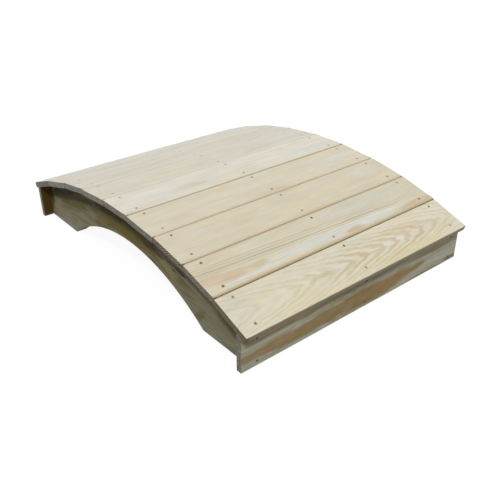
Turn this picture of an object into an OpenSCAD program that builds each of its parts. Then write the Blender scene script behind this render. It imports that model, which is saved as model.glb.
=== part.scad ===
// Arched timber garden bridge: flat boards nailed across three sawn stringers,
// closed at each end by an upright end board. X runs along the span, Y across
// the deck, Z up, and the origin is on the ground under the middle of the span.

/* [Deck] */
// Width of one deck board, along the curve
board_w = 139.7; // [115:0.1:148]
// Thickness of a deck board
board_t = 20; // [16:0.5:38]
// Length of a deck board, across the bridge
board_l = 914.4; // [800:0.1:1200]
// Radius of the curve that the undersides of the boards lie on
deck_r = 1564; // [1300:1:3000]
// Height of the underside of the middle board above the ground
crown_h = 230; // [205:1:300]
// Open joint between the lower edges of two boards
joint_gap = 0.3; // [0.2:0.1:3]
// Rounding of the long edges of a board
board_ease = 3; // [0.5:0.1:4]

/* [Stringers] */
// Thickness of a stringer
stringer_t = 38; // [30:1:60]
// Distance from an outer stringer's face to the ends of the boards, on average
side_lip = 29.2; // [20:0.1:80]
// Distance that the row of stringers sits off the middle of the deck
frame_shift = 5; // [-10:1:10]
// Height of the arch under the middle of the span
arch_h = 124.5; // [80:0.5:140]
// Width of the arch at the ground
arch_w = 770; // [500:1:800]
// Gap left between the top of a stringer and the boards on it
seat_gap = 0.2; // [0.1:0.1:0.5]

/* [End boards] */
// Thickness of an end board
end_t = 19; // [16:0.5:38]
// Distance that the lower edge of the deck reaches past an end board
lip = 17; // [5:1:20]
// Gap left between an end board and the stringers it is nailed to
end_gap = 0.2; // [0.1:0.1:0.5]
// Rounding of the long edges of an end board
end_ease = 2; // [0.5:0.1:4]

/* [Nails] */
// Diameter of a nail's shank
nail_d = 2.9; // [2:0.1:4]
// Diameter of a nail's head
head_d = 7; // [5:0.1:9]
// Thickness of a nail's head
head_t = 1.2; // [0.8:0.1:2]
// Length of a nail, head and point included
nail_l = 62; // [45:1:75]
// Length of a nail's point
point_l = 5; // [3:0.5:8]
// Gap around a nail in its hole
nail_gap = 0.1; // [0.05:0.05:0.3]
// Distance from the farther row of nails in a deck board to the board's far edge
far_nail_edge = 17; // [15:1:30]
// Distance from the nearer row to its near edge
near_nail_edge = 24; // [15:1:30]
// The same at the two outer edges of the deck, where the nails go into the end boards
rim_nail_edge = 28; // [24:1:34]
// Height of the lower nails in an end board above the ground
end_nail_low = 15; // [12:1:30]
// Distance of its upper nails from the top of its outer face
end_nail_top = 25; // [15:1:45]

/* [Hidden] */
board_count = 9;
STRINGERS = ["left", "middle", "right"];
ENDS = ["near", "far"];
// How far each board slipped along its length as it was nailed down
board_slip = [1, -0.5, 1.5, -1, 0, -1.5, 0.5, 1, -0.5];
// How far each row of nails runs beside the middle of its stringer
deck_nail_off = [-4, 0, -6];
end_nail_off = [0, 5, 6];

step = 2 * atan((board_w + joint_gap) / 2 / deck_r);
curve_z = crown_h - deck_r;
// Tilt of the two outermost boards, and the height of their undersides over x
rim_tilt = step * (board_count - 1) / 2;
function rim_z(x) = curve_z + deck_r / cos(rim_tilt) - x * tan(rim_tilt);
// Outer and inner faces of an end board
end_x = deck_r * sin(rim_tilt) + board_w / 2 * cos(rim_tilt) - lip;
end_in = end_x - end_t;
stringer_pitch = (board_l - stringer_t) / 2 - side_lip;
// Radius of the arch, from its height and its width
arch_r = (pow(arch_w / 2, 2) + arch_h * arch_h) / (2 * arch_h);
hole_d = nail_d + 2 * nail_gap;
cut = 1;
// Facets of the two long curves, and of the nails and small roundings
curve_fn = 720;
round_fn = 32;

function stringer_y(s) = frame_shift + (s - 1) * stringer_pitch;

// Angle of a board from the top of the curve: the boards count from the far end
function board_tilt(k) = step * (k - (board_count + 1) / 2);

// Places of the two nails of a row, along the board from its middle
function nail_x(k) = [
    (k == 1 ? rim_nail_edge : far_nail_edge) - board_w / 2,
    board_w / 2 - (k == board_count ? rim_nail_edge : near_nail_edge)
];

// Puts a shape on the underside of board k, lying flat
module on_board(k)
    translate([0, 0, curve_z]) rotate([0, board_tilt(k), 0]) translate([0, 0, deck_r]) children();

// Puts a shape at each nail of board k, on the board's top
module at_deck_nails(k)
    on_board(k)
        for (s = [0:2], x = nail_x(k))
            translate([x, stringer_y(s) + deck_nail_off[s], board_t]) children();

// Turns what is built for the near end to the end e, 0 near and 1 far
module at_end(e)
    mirror([e, 0, 0]) children();

// Puts a shape at each nail of an end board, with its head outwards
module at_end_nails()
    for (s = [0:2], z = [end_nail_low, rim_z(end_x) - end_nail_top])
        translate([end_x, stringer_y(s) + end_nail_off[s], z]) rotate([0, 90, 0]) children();

// A nail with the top of its head at the origin, pointing down
module nail() {
    translate([0, 0, -head_t]) cylinder(d = head_d, h = head_t, $fn = round_fn);
    translate([0, 0, point_l - nail_l])
        cylinder(d = nail_d, h = nail_l - point_l - head_t / 2, $fn = round_fn);
    translate([0, 0, -nail_l]) cylinder(d1 = 0.4, d2 = nail_d, h = point_l, $fn = round_fn);
}

// The hole that a nail has driven, with the dent of its head
module nail_hole() {
    translate([0, 0, -head_t - nail_gap])
        cylinder(d = head_d + 2 * nail_gap, h = head_t + nail_gap + cut, $fn = round_fn);
    translate([0, 0, -nail_l - nail_gap]) cylinder(d = hole_d, h = nail_l, $fn = round_fn);
}

// Section of a sawn board with rounded long edges, centred on x and standing on y = 0
module eased_section(w, t, r) {
    translate([r - w / 2, 0]) square([w - 2 * r, t]);
    translate([-w / 2, r]) square([w, t - 2 * r]);
    for (x = [r - w / 2, w / 2 - r], y = [r, t - r])
        translate([x, y]) circle(r = r, $fn = round_fn);
}

module deck_board(k)
    color([0.83, 0.80, 0.72])
        difference() {
            on_board(k) translate([0, board_slip[k - 1], 0]) rotate([90, 0, 0])
                linear_extrude(board_l, center = true) eased_section(board_w, board_t, board_ease);
            at_deck_nails(k) nail_hole();
        }

// Side of a stringer: curved on top, arched underneath, flat at its two feet
module stringer_side()
    difference() {
        intersection() {
            translate([0, curve_z]) circle(r = deck_r - seat_gap, $fn = curve_fn);
            translate([end_gap - end_in, 0]) square([2 * (end_in - end_gap), crown_h]);
        }
        translate([0, arch_h - arch_r]) circle(r = arch_r, $fn = curve_fn);
    }

module stringer(s)
    color([0.46, 0.43, 0.32])
        difference() {
            translate([0, stringer_y(s) + stringer_t / 2, 0]) rotate([90, 0, 0])
                linear_extrude(stringer_t) stringer_side();
            for (k = [1:board_count]) at_deck_nails(k) nail_hole();
            for (e = [0, 1]) at_end(e) at_end_nails() nail_hole();
        }

// Section of an end board, ripped along its top to the slope of the deck board on it
module end_section()
    difference() {
        translate([end_in + end_t / 2, 0]) eased_section(end_t, crown_h, end_ease);
        translate([0, curve_z]) rotate(-rim_tilt) translate([-crown_h, deck_r - seat_gap])
            square([2 * crown_h, crown_h]);
    }

module end_board(e)
    color([0.56, 0.54, 0.46])
        difference() {
            at_end(e) difference() {
                rotate([90, 0, 0]) linear_extrude(board_l, center = true) end_section();
                at_end_nails() nail_hole();
            }
            for (k = [1, board_count]) at_deck_nails(k) nail_hole();
        }

module deck_nails(k)
    color([0.36, 0.34, 0.32]) at_deck_nails(k) nail();

module end_nails(e)
    color([0.36, 0.34, 0.32]) at_end(e) at_end_nails() nail();

for (k = [1:board_count]) {
    deck_board(k);
    deck_nails(k);
}
for (s = [0:2])
    stringer(s);
for (e = [0, 1]) {
    end_board(e);
    end_nails(e);
}
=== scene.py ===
import math

import bmesh
import bpy
from mathutils import Euler, Matrix, Vector


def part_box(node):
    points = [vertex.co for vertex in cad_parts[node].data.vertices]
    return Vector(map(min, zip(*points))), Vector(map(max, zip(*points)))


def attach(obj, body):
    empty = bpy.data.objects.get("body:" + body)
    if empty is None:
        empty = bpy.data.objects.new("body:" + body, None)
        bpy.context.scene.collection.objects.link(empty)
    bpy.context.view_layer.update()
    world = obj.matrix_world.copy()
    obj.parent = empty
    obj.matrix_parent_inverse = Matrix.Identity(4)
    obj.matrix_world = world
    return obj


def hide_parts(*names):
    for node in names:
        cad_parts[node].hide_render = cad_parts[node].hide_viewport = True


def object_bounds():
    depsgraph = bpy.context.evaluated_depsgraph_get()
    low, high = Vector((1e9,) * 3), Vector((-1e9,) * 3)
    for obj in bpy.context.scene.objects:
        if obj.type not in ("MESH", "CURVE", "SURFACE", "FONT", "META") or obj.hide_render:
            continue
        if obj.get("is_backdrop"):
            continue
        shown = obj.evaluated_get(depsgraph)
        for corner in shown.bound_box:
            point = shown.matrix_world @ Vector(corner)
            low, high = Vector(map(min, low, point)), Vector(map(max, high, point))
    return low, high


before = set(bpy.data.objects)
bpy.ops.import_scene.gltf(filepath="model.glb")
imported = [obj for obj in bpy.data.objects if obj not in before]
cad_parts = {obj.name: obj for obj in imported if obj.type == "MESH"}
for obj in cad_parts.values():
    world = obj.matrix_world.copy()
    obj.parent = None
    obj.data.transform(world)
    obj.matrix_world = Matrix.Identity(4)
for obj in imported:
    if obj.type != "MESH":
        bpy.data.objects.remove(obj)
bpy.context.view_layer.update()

# Stringers: three bearers of 38 mm pressure-treated pine, sawn to the curve of the deck on top and to
# an arch underneath, so that each stands on two flat feet. Their sawn corners are lightly eased, and
# every deck board is nailed down into all three.
crown_height = 0.230
curve_radius = 1.564
curve_centre = Vector((0, 0, crown_height - curve_radius))
seat_gap = 0.0002
arch_height = 0.1245
arch_half_width = 0.385
arch_radius = (arch_half_width ** 2 + arch_height ** 2) / (2 * arch_height)
stringer_arris = 0.0012
blank_height = 0.25
disc_thick = 0.06
disc_segments = 720
shortest_facet = 0.0015


def put_on_bench(name, shape):
    """Makes a piece of a finished shape."""
    mesh = bpy.data.meshes.new(name)
    shape.to_mesh(mesh)
    shape.free()
    piece = bpy.data.objects.new(name, mesh)
    bpy.context.scene.collection.objects.link(piece)
    return piece


def take_up(piece):
    """Takes a piece's mesh up again to work on."""
    shape = bmesh.new()
    shape.from_mesh(piece.data)
    return shape


def put_back(piece, shape):
    shape.to_mesh(piece.data)
    shape.free()


def saw_block(low, high):
    """A squared block of timber between two corners."""
    low = Vector(low)
    high = Vector(high)
    place = Matrix.Translation((low + high) / 2) @ Matrix.Diagonal((*(high - low), 1))
    block = bmesh.new()
    bmesh.ops.create_cube(block, size=1, matrix=place)
    return block


def cut(piece, tool, operation="DIFFERENCE"):
    """Cuts a piece with a tool's shape, and puts the tool away."""
    saw = piece.modifiers.new("saw", "BOOLEAN")
    saw.operation = operation
    saw.solver = "EXACT"
    saw.object = tool
    done = piece.evaluated_get(bpy.context.evaluated_depsgraph_get())
    mesh = bpy.data.meshes.new_from_object(done)
    piece.modifiers.clear()
    piece.data = mesh
    bpy.data.objects.remove(tool)


def ease(shape, edges, width, segments):
    """Rounds the given edges, or bevels them where there is one segment."""
    bmesh.ops.bevel(
        shape, geom=edges, offset=width, offset_type="OFFSET", affect="EDGES",
        segments=segments, profile=0.5, material=-1, clamp_overlap=False,
    )


def turn_on_lathe(profile, steps):
    """Turns a profile of (radius, height) pairs round the upright axis."""
    shape = bmesh.new()
    points = [shape.verts.new((radius, 0, height)) for radius, height in profile]
    lines = [shape.edges.new(pair) for pair in zip(points, points[1:])]
    bmesh.ops.spin(
        shape, geom=points + lines, cent=(0, 0, 0), axis=(0, 0, 1), angle=math.tau,
        steps=steps, use_merge=True, use_duplicate=False,
    )
    bmesh.ops.remove_doubles(shape, verts=shape.verts, dist=1e-6)
    bmesh.ops.recalc_face_normals(shape, faces=shape.faces)
    return shape


def set_at(single, places):
    """Repeats a shape at each place."""
    mesh = bpy.data.meshes.new("single")
    single.to_mesh(mesh)
    single.free()
    every = bmesh.new()
    for place in places:
        copy = mesh.copy()
        copy.transform(place)
        every.from_mesh(copy)
        bpy.data.meshes.remove(copy)
    bpy.data.meshes.remove(mesh)
    return every


board_count = 9
board_width = 0.1397
board_length = 0.9144
board_thick = 0.020
board_gap = 0.0003
tilt_step = 2 * math.atan((board_width + board_gap) / 2 / curve_radius)


def board_tilt(number):
    """How far a deck board leans from level. The boards count from the far end."""
    return tilt_step * (number - (board_count + 1) / 2)


def board_place(number):
    """The axes of a deck board, at the middle of its underside."""
    turned = Matrix.Rotation(board_tilt(number), 4, "Y")
    return Matrix.Translation(curve_centre) @ turned @ Matrix.Translation((0, 0, curve_radius))


deck_nail_rows = (-0.408, 0.005, 0.408)
far_nail_edge = 0.017
near_nail_edge = 0.024
rim_nail_edge = 0.028


def deck_nail_across(number):
    """How far the two nails of a row are from the middle of their board."""
    far = rim_nail_edge if number == 1 else far_nail_edge
    near = rim_nail_edge if number == board_count else near_nail_edge
    return (far - board_width / 2, board_width / 2 - near)


def deck_nail_places(number):
    board = board_place(number)
    return [
        board @ Matrix.Translation((across, row, board_thick))
        for row in deck_nail_rows
        for across in deck_nail_across(number)
    ]


rim_tilt = board_tilt(board_count)
lip = 0.017
end_face = curve_radius * math.sin(rim_tilt) + board_width / 2 * math.cos(rim_tilt) - lip
rim_height = curve_centre.z + curve_radius / math.cos(rim_tilt) - end_face * math.tan(rim_tilt)
end_nail_rows = (-0.404, 0.010, 0.420)
end_nail_heights = (0.015, rim_height - 0.025)


def end_nail_places(way):
    turned = Matrix.Rotation(way * math.radians(90), 4, "Y")
    return [
        Matrix.Translation((way * end_face, row, height)) @ turned
        for row in end_nail_rows
        for height in end_nail_heights
    ]


nail_length = 0.062
nail_point = 0.005
nail_steps = 24
shank_radius = 0.00145
head_radius = 0.0035
head_thick = 0.0012
slack = 0.0001
crush_width = 0.0009
crush_depth = 0.0007


def drill(piece, places):
    """Opens the holes that nails have driven, with the dent that each head leaves.

    The face is crushed a little round a head. The drill stands out above the face, where it cuts
    nothing.
    """
    hole = shank_radius + slack
    dent = head_radius + slack
    rim = dent + crush_width
    floor_of_dent = -head_thick - slack
    above = 0.002
    profile = (
        (0, above),
        (rim, above),
        (rim, 0.00001),
        (dent, -crush_depth),
        (dent, floor_of_dent),
        (hole, floor_of_dent),
        (hole, nail_point - nail_length - slack),
        (0, -nail_length - slack),
    )
    cut(piece, put_on_bench("drill", set_at(turn_on_lathe(profile, nail_steps), places)))


crisp_angle = math.radians(35)


def show_arrises(piece):
    """Shades the rounded parts smooth and keeps real corners crisp."""
    shape = take_up(piece)
    for face in shape.faces:
        face.smooth = True
    for edge in shape.edges:
        edge.smooth = edge.calc_face_angle(math.pi) < crisp_angle
    put_back(piece, shape)
    even = piece.modifiers.new("even", "WEIGHTED_NORMAL")
    even.keep_sharp = True


def paint(red, green, blue):
    """A colour as it looks, 0 to 255, for a shader."""
    return (*[((part / 255 + 0.055) / 1.055) ** 2.4 for part in (red, green, blue)], 1)


class Recipe:
    """The nodes of a finish, or of the light round the bridge, added step by step."""

    def __init__(self, owner):
        owner.use_nodes = True
        self.tree = owner.node_tree

    def feed(self, socket, value):
        """Joins a node or a socket to a socket, or sets a plain value on it."""
        if isinstance(value, bpy.types.Node):
            value = value.outputs[0]
        if isinstance(value, bpy.types.NodeSocket):
            self.tree.links.new(value, socket)
        else:
            socket.default_value = value

    def add(self, kind, inputs, **settings):
        node = self.tree.nodes.new("ShaderNode" + kind)
        for setting, value in settings.items():
            setattr(node, setting, value)
        named = inputs.items() if isinstance(inputs, dict) else enumerate(inputs)
        for socket, value in named:
            self.feed(node.inputs[socket], value)
        return node

    def sum(self, operation, *values):
        return self.add("Math", values, operation=operation)

    def fade(self, value, start, end, low=0.0, high=1.0):
        """A smooth step from low to high as value goes from start to end."""
        levels = [value, start, end, low, high]
        return self.add("MapRange", levels, interpolation_type="SMOOTHSTEP")

    def mix(self, share, under, over, blend="MIX"):
        inputs = {0: share, 6: under, 7: over}
        return self.add("Mix", inputs, data_type="RGBA", blend_type=blend).outputs[2]


def grain_axes(across, along):
    """Turns a pattern so that x runs across a board, y along it and z out of its face."""
    across = Vector(across)
    along = Vector(along)
    return Matrix((across, along, across.cross(along))).transposed().to_euler()


def timber(
    name, centre, axes, along, seed, face, pith, early, late, end_early, end_late, ring=6.0,
    rise=0.0, drift=0.0, arms=(0.02, 0.02), arch=2.0, blunt=0.0, uneven=1.9, wander=3.0, ripple=0.5,
    bands=((0.0, 0.3), (0.10, 0.0), (0.45, 0.08), (0.78, 0.6), (0.93, 1.0), (1.0, 0.3)),
    contrast=0.5, bold=None, end_contrast=0.9, streaks=(), patches=(), stains=(), painted_joint_shade=None,
    painted_flank_shade=None, mottle=0.018, rough=0.6, shine=0.35,
):
    """Sawn pine. Its growth rings lie round a pith that runs beside or below the board.

    Places and lengths are in millimetres from the middle of the board, across it and along it. The
    pith leans by rise and drift along the board, arms, arch and blunt shape the figure round it, and
    wander and ripple disturb it. Bold is the place where the figure shows most. The near and far long
    edges may be painted darker, by given strengths and a width in, as painted shade of the joints.
    """
    pine = bpy.data.materials.new(name)
    wood = Recipe(pine)
    surface = wood.tree.nodes["Principled BSDF"]
    corner = wood.add("TexCoord", {})
    inputs = {"Vector": corner.outputs["Object"], "Location": centre, "Rotation": axes}
    inputs["Scale"] = (0.001, 0.001, 0.001)
    spot = wood.add("Mapping", inputs, vector_type="TEXTURE")
    split = wood.add("SeparateXYZ", [spot])
    across, length, height = split.outputs

    def figure(wide, long, shift, detail=2.0):
        """A soft random figure, so many millimetres wide and long."""
        scaled = wood.add("VectorMath", [spot, (1 / wide, 1 / long, 1 / wide)], operation="MULTIPLY")
        inputs = {"Vector": scaled, "W": seed + shift, "Scale": 1.0, "Detail": detail}
        return wood.add("TexNoise", inputs, noise_dimensions="4D")

    def distance(where, reach, lean):
        """How far a point is from a place, in shares of a reach, at any depth if none is given."""
        inputs = {"Vector": spot, "Rotation": (0, 0, math.radians(lean))}
        inputs["Location"] = (*where, 0)[:3]
        inputs["Scale"] = (*reach, 1e6)[:3]
        local = wood.add("Mapping", inputs, vector_type="TEXTURE")
        return wood.add("VectorMath", [local], operation="LENGTH").outputs["Value"]

    # The rings: how far a point is aside of the pith and how deep, with the years and their seasons.
    sway = wood.sum("MULTIPLY_ADD", figure(60, 260, 0.0), 2 * wander, -wander)
    sway = wood.sum("ADD", sway, wood.sum("MULTIPLY_ADD", figure(24, 48, 0.6), wander, -wander / 2))
    waves = wood.sum("MULTIPLY_ADD", figure(13, 42, 1.7), 4 * ripple, -2 * ripple)
    aside = wood.sum("MULTIPLY_ADD", length, -drift, wood.sum("SUBTRACT", across, pith[0]))
    aside = wood.sum("ADD", aside, sway)
    deep = wood.sum("MULTIPLY_ADD", length, rise, pith[1] - face)
    deep = wood.sum("ADD", wood.sum("ADD", deep, height), waves)
    bend = wood.sum("SQRT", wood.sum("MULTIPLY_ADD", aside, aside, blunt ** 2))
    spread = wood.sum("POWER", wood.sum("SUBTRACT", bend, blunt), arch)
    side = wood.sum("SIGN", aside)
    arm = wood.sum("MULTIPLY_ADD", side, (arms[1] - arms[0]) / 2, (arms[0] + arms[1]) / 2)
    years = wood.sum("DIVIDE", wood.sum("MULTIPLY_ADD", arm, spread, deep), ring)
    inputs = {"W": wood.sum("MULTIPLY", years, 0.45), "Scale": 1.0, "Detail": 1.0}
    pace = wood.add("TexNoise", inputs, noise_dimensions="1D")
    years = wood.sum("MULTIPLY_ADD", pace, uneven, years)
    season = wood.sum("FRACT", years)
    year = wood.add("TexWhiteNoise", {"W": wood.sum("FLOOR", years)}, noise_dimensions="1D")
    growth = wood.add("ValToRGB", [season])
    growth.color_ramp.interpolation = "EASE"
    stops = growth.color_ramp.elements
    stops.remove(stops[1])
    for place, level in bands[1:]:
        stops.new(place).color = (level, level, level, 1)
    first = bands[0][1]
    stops[0].color = (first, first, first, 1)
    rings = wood.sum("MULTIPLY", growth, wood.sum("MULTIPLY_ADD", year, 0.6, 0.4))

    # The faces: streaks and patches of colour, then the rings, the fibre, and on top the painted shade
    # along the long edges and on the side faces.
    colour = early
    for tone, wide, long, start, end, strength in streaks:
        share = wood.fade(figure(wide, long, wide / 7), start, end, 0.0, strength)
        colour = wood.mix(share, colour, tone)
    ragged = wood.sum("MULTIPLY_ADD", figure(11, 55, 4.4, 4.0), 1.3, -0.65)
    for tone, where, reach, strength, lean in patches:
        away = wood.sum("ADD", distance(where, reach, lean), ragged)
        colour = wood.mix(wood.fade(away, 1.2, 0.5, 0.0, strength), colour, tone)
    clear = contrast
    if bold:
        where, reach, lean, least = bold
        away = wood.sum("ADD", distance(where, reach, lean), wood.sum("MULTIPLY", ragged, 0.6))
        clear = wood.fade(away, 1.2, 0.6, least * contrast, contrast)
    colour = wood.mix(wood.sum("MULTIPLY", rings, clear), colour, late)
    fibre = figure(0.9, 70, 7.1, 3.0)
    colour = wood.mix(wood.fade(fibre, 0.3, 0.7, 0.0, 0.2), colour, late)
    cloud = wood.fade(figure(26, 170, 9.3, 3.0), 0.3, 0.7, 0.96, 1.045)
    blotch = figure(8, 34, 13.0, 4.0)
    speckle = wood.fade(blotch, 0.3, 0.7, 1 - mottle, 1 + mottle)
    cloud = wood.sum("MULTIPLY", cloud, speckle)
    shade = wood.add("CombineColor", [cloud, cloud, cloud])
    colour = wood.mix(1.0, colour, shade, "MULTIPLY")
    stain_core = 3.0
    stain_edge = 7.5
    for *where, strength in stains:
        away = distance(where, (1, 1), 0)
        colour = wood.mix(wood.fade(away, stain_edge, stain_core, 0.0, strength), colour, late)
    # Painted shade of the joints: the near and far long edges darker, with a ragged border.
    if painted_joint_shade:
        near_painted_shade, far_painted_shade, width = painted_joint_shade
        edge = 1000 * board_width / 2
        off = wood.sum("MULTIPLY_ADD", ragged, 3.0, across)
        near_painted_shade = wood.fade(off, edge - width, edge, 0.0, near_painted_shade)
        far_painted_shade = wood.fade(off, width - edge, -edge, 0.0, far_painted_shade)
        colour = wood.mix(wood.sum("ADD", near_painted_shade, far_painted_shade), colour, late)
    # Painted shade: the side faces take a darker, browner tone that stands in for the shade on the
    # near lip and in the joints, darker still near the board ends, over the lit notches there.
    if painted_flank_shade:
        sideways = Euler(axes).to_matrix().col[0]
        facing = wood.add("VectorMath", [corner.outputs["Normal"], sideways], operation="DOT_PRODUCT")
        turned = wood.sum("ABSOLUTE", facing.outputs["Value"])
        tip = 1000 * board_length / 2
        notch_painted_shade = wood.fade(wood.sum("ABSOLUTE", length), tip - 16, tip - 2, 0.0, 0.85)
        colour = wood.mix(wood.fade(turned, 0.2, 0.9), colour, wood.mix(notch_painted_shade, painted_flank_shade, end_late))

    # The sawn ends: the same rings, with open pores.
    facing = wood.add("VectorMath", [corner.outputs["Normal"], along], operation="DOT_PRODUCT")
    sawn = wood.fade(wood.sum("ABSOLUTE", facing.outputs["Value"]), 0.6, 0.85)
    end_rings = wood.mix(wood.sum("MULTIPLY", rings, end_contrast), end_early, end_late)
    pores = figure(1.3, 1.3, 11.0, 2.0)
    end_rings = wood.mix(wood.fade(pores, 0.45, 0.75, 0.0, 0.45), end_rings, end_late)
    dapple = wood.fade(blotch, 0.3, 0.7, 0.8, 1.2)
    dapple = wood.add("CombineColor", [dapple, dapple, dapple])
    end_rings = wood.mix(1.0, end_rings, dapple, "MULTIPLY")
    colour = wood.mix(sawn, colour, end_rings)
    wood.feed(surface.inputs["Base Color"], colour)

    # Gloss and relief: late wood and fibre stand proud, and the ends are rougher.
    grit = wood.sum("MULTIPLY_ADD", fibre, 0.16, rough - 0.08)
    wood.feed(surface.inputs["Roughness"], wood.sum("MULTIPLY_ADD", sawn, 0.2, grit))
    surface.inputs["Specular IOR Level"].default_value = shine
    relief = wood.sum("MULTIPLY_ADD", rings, 0.5, fibre)
    relief = wood.sum("MULTIPLY_ADD", wood.sum("MULTIPLY", pores, sawn), 1.5, relief)
    inputs = {"Strength": 0.5, "Distance": 0.0003, "Height": relief}
    wood.feed(surface.inputs["Normal"], wood.add("Bump", inputs))
    return pine


def outline_edges(shape):
    """The edges round the two faces that look along y."""
    return [
        edge for edge in shape.edges
        if sum(abs(face.normal.y) > 0.9 for face in edge.link_faces) == 1
    ]


# A patch has a colour, its place across and along, half its width and length, how strong it is, and
# its turn in degrees. The left stringer shows, so its sapwood, heart and stains are laid out here,
# with the painted shade and painted light that are marked below.
left_patches = (
    (paint(196, 198, 186), (112, 0), (30, 700), 0.75, 0),
    # Painted shade: darker olive over the upper stringer under the deck's overhang, from the far end
    # to the middle.
    (paint(136, 122, 60), (-42, -10), (32, 200), 0.85, 0),
    (paint(120, 114, 68), (-12, -370), (38, 170), 0.95, 15),
    (paint(176, 174, 146), (30, -500), (26, 20), 0.6, 10),
    (paint(180, 176, 148), (14, -236), (26, 26), 0.6, -30),
    # Painted shade: dark bands along the top toward the far end, under the deck's side overhang, down
    # to a near-black strip.
    (paint(90, 80, 42), (-22, -430), (22, 150), 0.9, 16),
    (paint(56, 50, 22), (-37, -310), (9, 130), 0.4, 12),
    (paint(8, 6, 2), (-24, -440), (13, 140), 1.0, 16),
    # Painted shade: the far end darkened in the corner by the far end board, under the deck's end.
    (paint(108, 88, 44), (36, -576), (90, 34), 1.0, 0),
    (paint(64, 46, 18), (0, -570), (50, 34), 0.9, 0),
    # Painted shade: a dark olive strip under the deck near the middle.
    (paint(66, 54, 14), (-70, -70), (12, 180), 1.0, 3),
    (paint(196, 188, 146), (-8, 215), (32, 66), 0.75, -10),
    # Painted light: a pale strip along the top of the near half, lifting the shadow under the deck's
    # edge.
    (paint(238, 224, 186), (-13, 350), (14, 240), 0.95, -13.4),
    (paint(112, 104, 64), (72, 372), (44, 14), 0.5, -50),
    (paint(124, 114, 72), (-6, 190), (8, 80), 0.5, -28),
    (paint(164, 160, 122), (-35, 228), (9, 28), 0.7, -10),
    (paint(98, 84, 48), (-34, 182), (6, 18), 0.7, -10),
    (paint(86, 76, 36), (-42, 116), (8, 24), 0.7, 0),
    (paint(92, 78, 44), (-28, 288), (8, 30), 0.8, -12),
    (paint(134, 98, 66), (-20, 253), (6, 14), 0.7, 0),
)

for number, name in enumerate(("left", "middle", "right")):
    node = "stringer_" + name
    low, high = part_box(node)
    blank = saw_block((low.x, low.y, 0), (high.x, high.y, blank_height))
    stringer = put_on_bench(name + "_stringer", blank)
    upright = Matrix.Rotation(math.radians(90), 4, "X")
    for radius, centre_height, operation in (
        (curve_radius - seat_gap, curve_centre.z, "INTERSECT"),
        (arch_radius, arch_height - arch_radius, "DIFFERENCE"),
    ):
        disc = bmesh.new()
        middle = Matrix.Translation((0, (low.y + high.y) / 2, centre_height))
        bmesh.ops.create_cone(
            disc, cap_ends=True, cap_tris=False, segments=disc_segments, radius1=radius,
            radius2=radius, depth=disc_thick, matrix=middle @ upright,
        )
        cut(stringer, put_on_bench("disc", disc), operation)
    shape = take_up(stringer)
    bmesh.ops.remove_doubles(shape, verts=shape.verts, dist=shortest_facet)
    ease(shape, outline_edges(shape), stringer_arris, 2)
    put_back(stringer, shape)
    places = [place for board in range(1, board_count + 1) for place in deck_nail_places(board)]
    places = [place for place in places if low.y < place.translation.y < high.y]
    ends = [place for way in (-1, 1) for place in end_nail_places(way)]
    places += [place for place in ends if low.y < place.translation.y < high.y]
    drill(stringer, places)
    show_arrises(stringer)
    finish = timber(
        name + "_stringer_pine",
        centre=(low + high) / 2,
        axes=grain_axes((0, 0, -1), (1, 0, 0)),
        along=(1, 0, 0),
        seed=20.0 + 3 * number,
        face=19.0,
        pith=(-30.0, 46.0),
        rise=0.012,
        drift=0.02,
        arms=(0.5, 0.5),
        arch=1.2,
        wander=8.0,
        ripple=0.8,
        ring=9.0,
        early=paint(180, 174, 142),
        late=paint(112, 96, 62),
        end_early=paint(158, 150, 128),
        end_late=paint(104, 94, 74),
        contrast=0.6,
        streaks=(
            (paint(186, 182, 152), 40, 200, 0.5, 0.7, 0.6),
            (paint(138, 120, 78), 34, 240, 0.5, 0.7, 0.8),
            (paint(118, 106, 76), 10, 120, 0.5, 0.72, 0.6),
        ),
        patches=left_patches if name == "left" else (),
        rough=0.7,
        mottle=0.06,
        shine=0.14,
    )
    stringer.data.materials.append(finish)
    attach(stringer, "root")
    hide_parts(node)

# End boards: one upright 19 mm pine board closes each end. Its top is ripped to the slope of the deck
# board that rests on it, its other long edges are rounded by the planer, and six nails hold it to the
# ends of the stringers. The near one shows a long brown heart between bands of treated sapwood.
end_thick = 0.019
end_ease = 0.002
end_blank_height = 0.16
end_middle = 0.055
sawn_arris = 0.0005
cut_arris = 0.0004
warp = 0.0006


def long_edges(shape):
    """The edges that run along a board."""
    return [edge for edge in shape.edges if abs(edge.verts[0].co.y - edge.verts[1].co.y) > 0.5]


def divide(shape, axis, marks):
    """Divides the faces across an axis, at marks in millimetres, so that a board can bend."""
    for mark in marks:
        bmesh.ops.bisect_plane(
            shape, geom=shape.verts[:] + shape.edges[:] + shape.faces[:],
            plane_co=Vector(axis) * (mark / 1000), plane_no=axis,
        )


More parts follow.
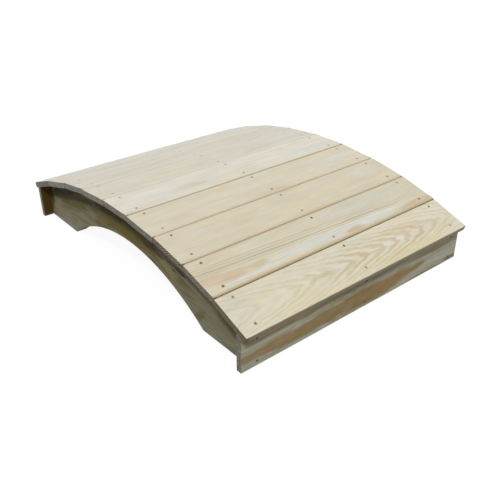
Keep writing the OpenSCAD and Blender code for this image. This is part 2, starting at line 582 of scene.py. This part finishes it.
heart = paint(166, 144, 100)
rust = paint(170, 140, 95)
ways = {"near": 1, "far": -1}
end_looks = {
    "near": dict(
        early=paint(197, 197, 174),
        late=paint(138, 118, 82),
        patches=(
            # Painted shade under the lip of the deck, over the board's olive grain; the next, lighter
            # patch eases it toward the left end.
            (paint(166, 149, 98), (-42, -100), (17, 430), 0.8, 0),
            (paint(224, 208, 164), (-36, -335), (13, 165), 0.9, 0),
            (paint(216, 207, 172), (-28, 310), (9, 190), 0.9, 0),
            (paint(220, 212, 182), (-18, -290), (7, 220), 0.9, 1),
            (paint(224, 214, 182), (-17, -60), (5, 120), 0.9, 0),
            (paint(158, 150, 118), (-16, 350), (5, 90), 0.7, 0),
            (paint(184, 164, 128), (-25, -355), (3, 90), 0.8, 1),
            (paint(176, 158, 126), (-21, -226), (6, 34), 0.6, 0),
            (paint(208, 210, 194), (-12, -380), (6, 150), 0.7, 0),
            # A reddish-brown streak at the top left corner, darkened as painted shade under the corner
            # of the lip.
            (paint(150, 128, 98), (-42, -430), (14, 36), 0.6, 0),
            (paint(172, 150, 108), (18, -435), (15, 80), 0.9, 0),
            (paint(176, 148, 104), (18, -330), (24, 100), 0.9, 0),
            (heart, (20, -180), (22, 150), 1.0, 0),
            (heart, (16, -30), (35, 190), 1.0, 0),
            (paint(152, 130, 88), (-2, -10), (8, 100), 0.9, 0),
            (heart, (34, -270), (9, 110), 0.9, 0),
            (paint(146, 126, 84), (35, 60), (11, 80), 0.8, 0),
            (paint(148, 130, 78), (26, -120), (12, 36), 0.7, 15),
            (paint(146, 128, 76), (31, -36), (11, 14), 0.6, 20),
            (paint(192, 150, 116), (28, -300), (5, 50), 0.7, 3),
            (paint(194, 146, 98), (21, 172), (5, 24), 0.8, 12),
            (paint(170, 140, 104), (12, 262), (3, 34), 0.9, 6),
            (rust, (17, 120), (26, 100), 1.0, 5),
            (rust, (12, 225), (10, 80), 1.0, 4),
            (paint(182, 146, 104), (26, -300), (7, 34), 0.6, 0),
            (paint(182, 146, 104), (10, -180), (5, 30), 0.5, 0),
            (paint(186, 144, 98), (20, 20), (8, 26), 0.6, 10),
            (paint(184, 144, 98), (20, 130), (8, 46), 0.4, 8),
            (paint(184, 144, 100), (6, 90), (5, 40), 0.5, 4),
            (paint(140, 128, 96), (50, 300), (4, 110), 0.9, 0),
            (paint(140, 122, 78), (44, 425), (8, 40), 0.9, 0),
            (paint(210, 204, 176), (36, 240), (8, 60), 0.7, 0),
            (paint(172, 162, 128), (-22, 330), (8, 130), 0.6, 0),
        ),
    ),
    "far": dict(
        early=paint(176, 152, 108),
        late=paint(112, 84, 50),
        patches=(
            (heart, (10, 60), (26, 260), 0.9, 2),
            (rust, (6, 120), (14, 120), 0.8, 0),
            # Painted shade: the inner face dark at its left end, under the deck's end.
            (paint(78, 58, 6), (8, -452, -19), (110, 60, 14), 1.0, 0),
        ),
    ),
}

for name, way in ways.items():
    outer = way * end_face
    inner = way * (end_face - end_thick)
    low = (min(outer, inner), -board_length / 2, 0)
    high = (max(outer, inner), board_length / 2, end_blank_height)
    shape = saw_block(low, high)
    slope = Vector((way * math.sin(rim_tilt), 0, math.cos(rim_tilt)))
    rip_line = curve_centre + slope * (curve_radius - seat_gap)
    ripped = bmesh.ops.bisect_plane(
        shape, geom=shape.verts[:] + shape.edges[:] + shape.faces[:], plane_co=rip_line,
        plane_no=slope, clear_outer=True,
    )
    rip_edges = [part for part in ripped["geom_cut"] if isinstance(part, bmesh.types.BMEdge)]
    bmesh.ops.holes_fill(shape, edges=rip_edges)
    bmesh.ops.recalc_face_normals(shape, faces=shape.faces)
    edges = long_edges(shape)
    foot_edges = [edge for edge in edges if edge.verts[0].co.z < 0.001]
    top_edges = [edge for edge in edges if edge.verts[0].co.z > 0.001]
    ease(shape, foot_edges, end_ease, 5)
    ease(shape, [edge for edge in top_edges if edge.is_valid], sawn_arris, 2)
    ease(shape, outline_edges(shape), cut_arris, 1)
    divide(shape, (0, 1, 0), range(-400, 401, 100))
    for vertex in shape.verts:
        vertex.co.x += way * warp * math.sin(vertex.co.y * 9.0 + 0.6) ** 2
    board = put_on_bench(name + "_end_plank", shape)
    drill(board, end_nail_places(way))
    show_arrises(board)
    finish = timber(
        name + "_end_pine",
        centre=(outer, 0, end_middle),
        axes=grain_axes((0, 0, -way), (0, 1, 0)),
        along=(0, 1, 0),
        seed=40.0 + 5 * way,
        face=0.0,
        pith=(18.0, 9.0),
        rise=-0.012,
        arms=(0.008, 0.008),
        wander=6.0,
        ripple=0.7,
        ring=5.2,
        end_early=paint(196, 190, 174),
        end_late=paint(52, 46, 36),
        end_contrast=1.0,
        bands=((0.0, 0.5), (0.15, 0.0), (0.4, 0.1), (0.65, 0.8), (0.85, 1.0), (1.0, 0.5)),
        contrast=0.3,
        mottle=0.07,
        shine=0.25,
        streaks=(
            (paint(204, 208, 194), 14, 240, 0.5, 0.66, 0.6),
            (paint(168, 150, 112), 8, 210, 0.52, 0.7, 0.6),
        ),
        rough=0.62,
        **end_looks[name],
    )
    board.data.materials.append(finish)
    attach(board, "root")
    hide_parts("end_board_" + name)

# End nails: plain wire nails of dull steel, two into each stringer end, driven until their heads are
# just below the face of the board. The hammer leaves each head a little hollow.
nail_profile = (
    (0, -0.00062),
    (0.0016, -0.00060),
    (0.0027, -0.00050),
    (0.0032, -0.00046),
    (head_radius - 0.0001, -0.00056),
    (head_radius, -0.00075),
    (head_radius - 0.0001, -head_thick + 0.0001),
    (0.0026, -head_thick),
    (shank_radius + 0.0003, -head_thick),
    (shank_radius, -head_thick - 0.0004),
    (shank_radius, nail_point - nail_length),
    (0.0009, 0.4 * nail_point - nail_length),
    (0, -nail_length),
)


def dull_steel(name, dark, pale):
    """Drawn steel wire, gone grey and a little brown from handling and rain."""
    wire = bpy.data.materials.new(name)
    steel = Recipe(wire)
    surface = steel.tree.nodes["Principled BSDF"]
    corner = steel.add("TexCoord", {})
    inputs = {"Vector": corner.outputs["Object"], "Scale": 38.0, "Detail": 0.0}
    which = steel.add("TexNoise", inputs)
    inputs = {"Vector": corner.outputs["Object"], "Scale": 900.0, "Detail": 3.0}
    grime = steel.add("TexNoise", inputs)
    colour = steel.mix(steel.fade(which, 0.42, 0.58), dark, pale)
    colour = steel.mix(steel.fade(grime, 0.45, 0.65, 0.0, 0.6), colour, paint(92, 74, 54))
    steel.feed(surface.inputs["Base Color"], colour)
    surface.inputs["Metallic"].default_value = 0.4
    steel.feed(surface.inputs["Roughness"], steel.sum("MULTIPLY_ADD", grime, 0.25, 0.45))
    inputs = {"Strength": 0.4, "Distance": 0.0001, "Height": grime}
    steel.feed(surface.inputs["Normal"], steel.add("Bump", inputs))
    return wire


def make_nails(name, places, finish):
    """The nails at the given places, as one piece."""
    nails = put_on_bench(name, set_at(turn_on_lathe(nail_profile, nail_steps), places))
    show_arrises(nails)
    nails.data.materials.append(finish)
    return nails


end_nail_finish = dull_steel("end_nail_steel", paint(24, 21, 18), paint(44, 39, 33))
for name, way in ways.items():
    nails = make_nails(name + "_end_plank_nails", end_nail_places(way), end_nail_finish)
    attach(nails, "root")
    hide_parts("end_nails_" + name)

# Deck boards: nine planed pine boards with rounded long edges, laid flat across the stringers, each
# tilted a little more than the last, so that they follow the curve as a row of facets. They are pale
# and nearly plain, apart from the flame figure of the nearest and the blue-grey streak of the second.
deck_ease = 0.003
hollows = (0.0004, -0.0003, 0.0005)
bow = 0.00015
nail_stains = (0.1, 0.5, 0.3, 0.55, 0.2)
cream = paint(212, 204, 182)
tan = paint(200, 184, 152)
rose = paint(210, 190, 168)
clay = paint(206, 182, 152)
straw = paint(214, 204, 168)
olive = paint(196, 187, 150)
ice = paint(216, 218, 212)
ash = paint(206, 204, 190)
boards = {
    9: dict(
        pith=(6.0, 28.0), rise=0.07, arms=(0.098, 0.14), arch=1.25, blunt=9.0, ring=4.7, uneven=0.6,
        wander=7.0, ripple=1.5, contrast=0.8, bold=((4, 150), (50, 330), 0, 0.45),
        bands=((0.0, 0.5), (0.15, 0.05), (0.4, 0.1), (0.65, 0.85), (0.85, 1.0), (1.0, 0.5)),
        early=paint(215, 210, 191), late=paint(184, 166, 127), end_early=paint(158, 145, 117),
        end_late=paint(76, 62, 44), painted_flank_shade=paint(166, 153, 124), painted_joint_shade=(0.0, 0.2, 7.0),
        patches=(
            (olive, (5, -122), (8, 32), 0.9, 0),
            (olive, (-14, -170), (4, 26), 0.8, -22),
            (olive, (8, 72), (6, 24), 0.6, 0),
            (olive, (-30, -400), (8, 30), 0.6, 0),
            (ice, (4, -78), (10, 44), 0.5, 0),
            (ice, (-2, 30), (5, 30), 0.4, -12),
            (ice, (3, 128), (7, 30), 0.5, 0),
            (ice, (4, 204), (8, 26), 0.6, 0),
            (ice, (-22, 392), (20, 80), 0.5, 0),
            (straw, (56, -220), (14, 200), 0.5, 0),
            (straw, (54, 200), (20, 190), 0.7, 0),
            (rose, (-20, 240), (12, 110), 0.6, -8),
            (tan, (22, -60), (4, 70), 0.6, 8),
            (ash, (-20, -420), (34, 60), 0.5, 0),
        ),
    ),
    8: dict(
        pith=(144.0, 66.0), drift=0.045, arms=(1.0, 1.0), arch=1.0, ring=10.5, uneven=0.7, wander=6.0,
        contrast=0.8, bold=((-4, -120), (23, 560), -2.6, 0.18), end_contrast=0.5,
        bands=((0.0, 0.4), (0.12, 0.0), (0.45, 0.0), (0.7, 0.7), (0.88, 1.0), (1.0, 0.4)),
        early=paint(210, 203, 181), late=paint(162, 146, 114), end_early=paint(175, 162, 146),
        end_late=paint(70, 58, 44), painted_joint_shade=(0.75, 0.35, 11.0),
        patches=(
            (ash, (-40, 180), (34, 220), 0.6, 0),
            (ice, (36, 10), (21, 300), 0.8, -1),
            (ice, (40, 200), (14, 150), 0.5, 0),
            (ice, (48, -300), (6, 120), 0.7, 0),
            (clay, (20, -412), (20, 60), 0.7, -14),
            (clay, (26, -352), (15, 56), 0.8, 0),
            (rose, (8, -420), (26, 60), 0.5, 0),
            (olive, (27, -268), (10, 38), 0.9, 0),
            (tan, (51, 95), (11, 44), 1.0, 0),
            (tan, (54, 385), (15, 110), 1.0, 3),
            (rose, (50, 410), (9, 30), 0.8, 0),
            (rose, (-50, -380), (12, 70), 0.5, 0),
            # Painted shade on the near rounded edge, beside the joint.
            (tan, (67, 0), (10, 600), 0.5, 0),
        ),
    ),
    7: dict(
        pith=(110.0, 140.0), arms=(0.75, 0.75), arch=1.0, ring=6.7, uneven=0.4, contrast=0.1,
        bands=((0.0, 0.5), (0.15, 0.0), (0.4, 0.1), (0.65, 0.9), (0.85, 1.0), (1.0, 0.5)),
        end_contrast=1.0, early=paint(211, 203, 182), end_early=paint(190, 174, 154),
        end_late=paint(20, 12, 6), painted_flank_shade=paint(196, 182, 152), painted_joint_shade=(0.35, 0.0, 7.0),
        patches=(
            (ice, (-17, 365), (34, 80), 0.4, 0),
            (straw, (10, 190), (11, 260), 0.5, 0),
            (rose, (-22, -170), (14, 60), 0.4, 0),
            (tan, (-64, 60), (8, 60), 0.6, 0),
            # Painted shade on the near rounded edge, beside the joint.
            (clay, (67, 40), (9, 600), 0.5, 0),
        ),
    ),
    6: dict(
        pith=(160.0, 90.0), arms=(0.8, 0.8), arch=1.0, ring=7.0, contrast=0.16, end_contrast=0.7,
        early=paint(215, 208, 187), end_early=paint(170, 165, 151), painted_flank_shade=paint(200, 188, 160),
        painted_joint_shade=(0.0, 0.4, 9.0),
        patches=(
            (rose, (30, -328), (20, 60), 0.4, 0),
            (straw, (-52, -105), (14, 36), 0.7, 0),
            (rose, (56, 12), (12, 60), 0.6, 0),
            # Painted shade on the near rounded edge, beside the joint.
            (tan, (67, 0), (7, 600), 0.5, 0),
            (ice, (0, 320), (40, 120), 0.4, 0),
        ),
    ),
    5: dict(
        pith=(-20.0, 70.0), rise=0.05, ring=6.0, contrast=0.3, end_contrast=0.6,
        bold=((-26, 20), (34, 130), 0, 0.4), early=paint(223, 221, 209),
        end_early=paint(174, 171, 155), painted_joint_shade=(0.35, 0.0, 9.0),
        patches=(
            (ice, (9, -290), (10, 45), 0.9, 0),
            (tan, (6, -205), (18, 45), 0.3, 0),
            (rose, (18, -160), (13, 30), 0.5, 0),
            (ice, (6, -99), (17, 34), 0.9, 0),
            (ice, (24, 318), (22, 110), 0.9, 0),
        ),
    ),
    # The four farthest boards get paler, greyer tones the farther they lie: painted sheen of the sky
    # at a grazing angle, over their own pale wood.
    4: dict(
        pith=(140.0, 80.0), arms=(0.9, 0.9), arch=1.0, ring=9.0, contrast=0.25, end_contrast=0.5,
        early=paint(219, 216, 203), end_early=paint(186, 179, 160), painted_flank_shade=paint(206, 202, 188),
        patches=((ice, (0, 330), (30, 120), 0.5, 0),),
    ),
    3: dict(
        pith=(-150.0, 60.0), arms=(0.9, 0.9), arch=1.0, ring=10.0, contrast=0.25, end_contrast=0.5,
        early=paint(223, 218, 207), end_early=paint(178, 174, 164), painted_flank_shade=paint(208, 204, 192),
        patches=((ice, (10, 330), (30, 120), 0.5, 0),),
    ),
    2: dict(
        pith=(30.0, 75.0), rise=-0.04, ring=8.0, contrast=0.22, end_contrast=0.5,
        early=paint(227, 224, 213), end_early=paint(186, 180, 171), painted_flank_shade=paint(210, 207, 196),
        patches=((ice, (0, -300), (30, 120), 0.5, 0),),
    ),
    1: dict(
        pith=(150.0, 70.0), arms=(0.9, 0.9), arch=1.0, ring=9.0, contrast=0.18, end_contrast=0.5,
        early=paint(226, 227, 223), end_early=paint(153, 150, 137), painted_flank_shade=paint(212, 211, 204),
    ),
}

for number, look in boards.items():
    node = f"deck_board_{number}"
    low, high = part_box(node)
    slip = (low.y + high.y) / 2
    shape = saw_block(
        (-board_width / 2, slip - board_length / 2, 0),
        (board_width / 2, slip + board_length / 2, board_thick),
    )
    ease(shape, long_edges(shape), deck_ease, 5)
    ease(shape, outline_edges(shape), sawn_arris, 1)
    divide(shape, (0, 1, 0), range(-420, 421, 60))
    divide(shape, (1, 0, 0), (-44, -22, 0, 22, 44))
    hollow = hollows[number % len(hollows)]
    for vertex in shape.verts:
        off = vertex.co.x / (board_width / 2)
        wave = math.sin(vertex.co.y * 5.0 + number * 1.3)
        vertex.co.z += hollow * (off * off - 0.4) + bow * wave
    bmesh.ops.transform(shape, matrix=board_place(number), verts=shape.verts)
    plank = put_on_bench(f"deck_plank_{number}", shape)
    drill(plank, deck_nail_places(number))
    show_arrises(plank)
    values = dict(
        centre=board_place(number) @ Vector((0, 0, board_thick / 2)),
        axes=(0, board_tilt(number), 0),
        along=(0, 1, 0),
        seed=60.0 + 4.3 * number,
        face=1000 * board_thick / 2,
        early=cream,
        late=paint(178, 158, 122),
        end_early=paint(184, 177, 166),
        end_late=paint(108, 98, 86),
        painted_flank_shade=paint(176, 156, 120),
        streaks=(
            (rose, 24, 260, 0.52, 0.72, 0.35),
            (straw, 18, 220, 0.5, 0.7, 0.4),
            (ice, 34, 300, 0.55, 0.75, 0.35),
        ),
        stains=[
            (1000 * across, 1000 * row, nail_stains[(2 * number + place) % len(nail_stains)])
            for place, row in enumerate(deck_nail_rows)
            for across in deck_nail_across(number)
        ],
        rough=0.58,
    )
    values.update(look)
    plank.data.materials.append(timber(f"deck_pine_{number}", **values))
    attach(plank, "root")
    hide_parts(node)

# Deck nails: two of the same wire nails through each board into each stringer, set a little below
# the face, where they show as small dark dots. Those of the farthest boards are painted pale, as a
# painted reflection of the sky on their heads.
painted_glint_boards = 4
deck_nail_finish = dull_steel("deck_nail_steel", paint(82, 76, 66), paint(160, 154, 140))
# Painted reflection: the nails of the farthest boards are painted pale, in place of the sky's glint at
# a grazing angle.
painted_glint_nail_finish = dull_steel("painted_glint_nail_steel", paint(160, 156, 146), paint(204, 201, 192))
for number in range(1, board_count + 1):
    finish = painted_glint_nail_finish if number <= painted_glint_boards else deck_nail_finish
    nails = make_nails(f"deck_plank_nails_{number}", deck_nail_places(number), finish)
    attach(nails, "root")
    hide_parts(f"deck_nails_{number}")

# Floor: a plain sheet under the bridge. The camera sees it white, with the bridge's soft shadow, and
# the bridge itself sees it dark, so that little light comes back up.
floor_reach = 20
paper_white = (0.94, 0.94, 0.94, 1)
paper_grey = (0.08, 0.08, 0.08, 1)
paper_dark = (0.06, 0.06, 0.06, 1)


def seen_white(recipe):
    """1 for what the camera sees, straight or in a gloss or through glass, and otherwise 0."""
    path = recipe.add("LightPath", {})
    seen = recipe.sum("MAXIMUM", path.outputs["Is Camera Ray"], path.outputs["Is Glossy Ray"])
    return recipe.sum("MAXIMUM", seen, path.outputs["Is Transmission Ray"])


floor_shape = bmesh.new()
bmesh.ops.create_grid(floor_shape, x_segments=4, y_segments=4, size=floor_reach)
floor = put_on_bench("floor", floor_shape)
floor_finish = bpy.data.materials.new("floor_paper")
paper = Recipe(floor_finish)
glow = paper.add("Emission", [paper_white, 1.0])
matt = paper.add("BsdfDiffuse", [paper_grey])
dim = paper.add("BsdfDiffuse", [paper_dark])
white = paper.add("AddShader", [glow, matt])
sheet = paper.add("MixShader", [seen_white(paper), dim, white])
paper.feed(paper.tree.nodes["Material Output"].inputs["Surface"], sheet)
floor.data.materials.append(floor_finish)
floor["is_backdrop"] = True

# Light: a white studio, which lights the bridge from overhead, one soft lamp high on the camera's
# side, which throws the shadows of the deck's edges, and a wide low one before the near end board.
overhead_light = 1.5
overhead_focus = 4.0
horizon_light = 0.01
world = bpy.data.worlds.new("studio")
bpy.context.scene.world = world
sky = Recipe(world)
way_up = sky.add("SeparateXYZ", [sky.add("TexCoord", {}).outputs["Generated"]]).outputs["Z"]
overhead = sky.sum("POWER", sky.sum("MAXIMUM", way_up, 0.0), overhead_focus)
overhead = sky.sum("MULTIPLY_ADD", overhead, overhead_light, horizon_light)
level = sky.add("MapRange", {"Value": seen_white(sky), "To Min": overhead, "To Max": 1.0})
background = sky.tree.nodes["Background"]
background.inputs["Color"].default_value = (1, 1, 1, 1)
sky.feed(background.inputs["Strength"], level)

for name, energy, angle, direction in (
    ("key", 1.6, 8, (0.385, -0.426, 0.819)),
    ("fill", 0.7, 70, (0.95, 0.15, 0.28)),
):
    lamp = bpy.data.lights.new(name, "SUN")
    lamp.energy = energy
    lamp.angle = math.radians(angle)
    stand = bpy.data.objects.new(name, lamp)
    stand.rotation_mode = "QUATERNION"
    stand.rotation_quaternion = Vector(direction).to_track_quat("Z", "Y")
    bpy.context.scene.collection.objects.link(stand)

# Camera: stands off the near left corner, as in the photograph, about a metre above the ground. It
# looks down on the low bridge, and leans a third of a degree to one side.
camera_place = Vector((1.5740, -1.2358, 1.0775))
look_round = math.radians(39.633)
look_down = math.radians(29.734)
lean = math.radians(-0.348)
forward = Vector((
    -math.cos(look_down) * math.cos(look_round),
    math.cos(look_down) * math.sin(look_round),
    -math.sin(look_down),
))
level_right = forward.cross(Vector((0, 0, 1))).normalized()
level_up = level_right.cross(forward)
right = math.cos(lean) * level_right + math.sin(lean) * level_up
up = math.cos(lean) * level_up - math.sin(lean) * level_right
lens = bpy.data.cameras.new("camera")
lens.sensor_width = 36
lens.lens = 45.79
camera = bpy.data.objects.new("camera", lens)
turned = Matrix((right, up, -forward)).transposed().to_4x4()
camera.matrix_world = Matrix.Translation(camera_place) @ turned
bpy.context.scene.collection.objects.link(camera)
bpy.context.scene.camera = camera
bpy.context.scene.view_settings.view_transform = "Standard"

low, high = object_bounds()
